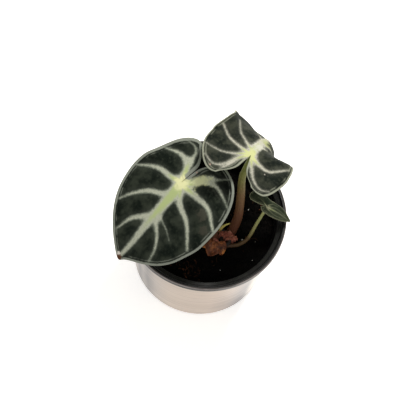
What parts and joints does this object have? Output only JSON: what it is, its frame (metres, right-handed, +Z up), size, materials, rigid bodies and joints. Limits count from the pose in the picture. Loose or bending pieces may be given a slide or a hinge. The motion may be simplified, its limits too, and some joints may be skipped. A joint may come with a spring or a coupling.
{
  "type": "potted jewel alocasia",
  "caption": "Small aroid with dark, silver-veined heart-shaped leaves on short stalks, in a black nursery pot set in a brushed steel outer pot.",
  "frame": {"origin": "centre of the steel pot's flat underside", "axes": "+Z up; -Y is the side seen in front, with the large leaf towards -X"},
  "size_m": [0.1132, 0.1074, 0.1273],
  "materials": {
    "steel": "fine horizontal brush lines",
    "black_plastic": "satin black moulded plastic",
    "soil": "rough potting mix of peat, bark and coir",
    "old_sheath": "dry orange-brown papery skin",
    "young_sheath": "pinkish papery skin",
    "shoot": "pale yellow, smooth",
    "petiole": "olive above and pinkish brown below, smooth",
    "young_petiole": "yellow-green above and brown at the foot",
    "blade": "velvety black-green with silver veins and a pale margin",
    "young_blade": "velvety dark green with paler veins"
  },
  "bodies": {
    "root": {"steel_pot": "steel", "nursery_pot": "black_plastic", "soil": "soil", "crown": "old_sheath", "sheath": "young_sheath", "shoot_tip": "shoot", "large_petiole": "petiole", "medium_petiole": "petiole", "small_petiole": "young_petiole", "large_leaf": "blade", "medium_leaf": "blade", "small_leaf": "young_blade"}
  },
  "joints": []
}
